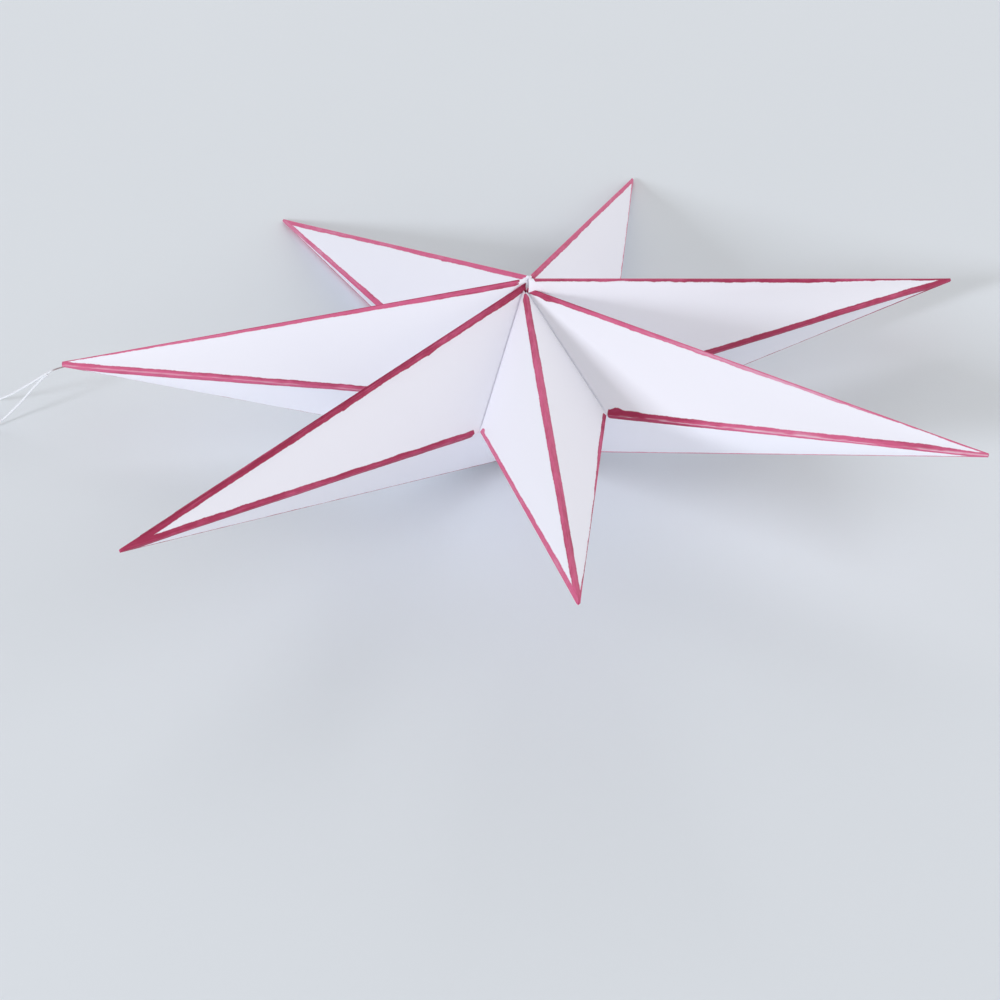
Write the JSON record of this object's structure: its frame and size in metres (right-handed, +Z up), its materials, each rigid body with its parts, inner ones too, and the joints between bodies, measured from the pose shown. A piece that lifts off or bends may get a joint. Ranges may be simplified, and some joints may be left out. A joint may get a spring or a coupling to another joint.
{
  "type": "folded paper star",
  "caption": "Hand-made star of hollow folded paper points with coloured lines drawn along its folds and a thread loop for hanging at one tip.",
  "frame": {"origin": "under the middle of the star's box, on the surface that it lies on", "axes": "+Z up from that surface, +X to the picture's right, +Y away from the viewer"},
  "size_m": [0.3468, 0.2648, 0.0603],
  "materials": {
    "card": "matt white card with magenta felt-tip lines along the folds",
    "thread": "white twisted cotton"
  },
  "bodies": {
    "root": {"left_point": "card", "front_left_point": "card", "front_point": "card", "front_right_point": "card", "right_point": "card", "back_point": "card", "back_left_point": "card", "hanging_thread": "thread", "stopper_knot": "thread", "loop_knot": "thread"}
  },
  "joints": []
}
